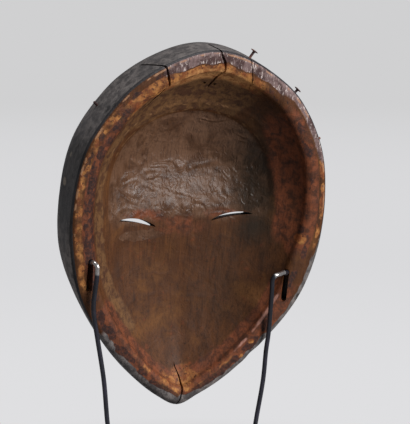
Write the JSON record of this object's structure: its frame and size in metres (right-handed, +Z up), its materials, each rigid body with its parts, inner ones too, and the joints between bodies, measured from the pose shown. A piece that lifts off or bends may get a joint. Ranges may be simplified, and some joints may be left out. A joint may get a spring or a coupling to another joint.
{
  "type": "dan mask on a wire stand",
  "caption": "Carved wooden face mask with narrow eye slits and an open hollow back, held upright on two bent steel arms above a flat foot.",
  "frame": {"origin": "middle of the underside of the stand's foot, on the surface that it stands on", "axes": "+Z up, the mask's face looks towards -Y and its hollow back opens towards +Y, +X to the viewer's left when seen from behind"},
  "size_m": [0.1757, 0.11, 0.3074],
  "materials": {
    "mask_wood": "worn, dark charcoal patina outside, reddish brown and golden raw wood inside",
    "nail_iron": "rusted",
    "stand_steel": "blackened, satin"
  },
  "bodies": {
    "root": {"mask": "mask_wood", "rim_nail_crown": "nail_iron", "rim_nail_temple": "nail_iron", "nail_stub_left": "nail_iron", "nail_stub_right": "nail_iron", "stand_arm_left": "stand_steel", "stand_arm_right": "stand_steel", "stand_foot": "stand_steel"}
  },
  "joints": []
}
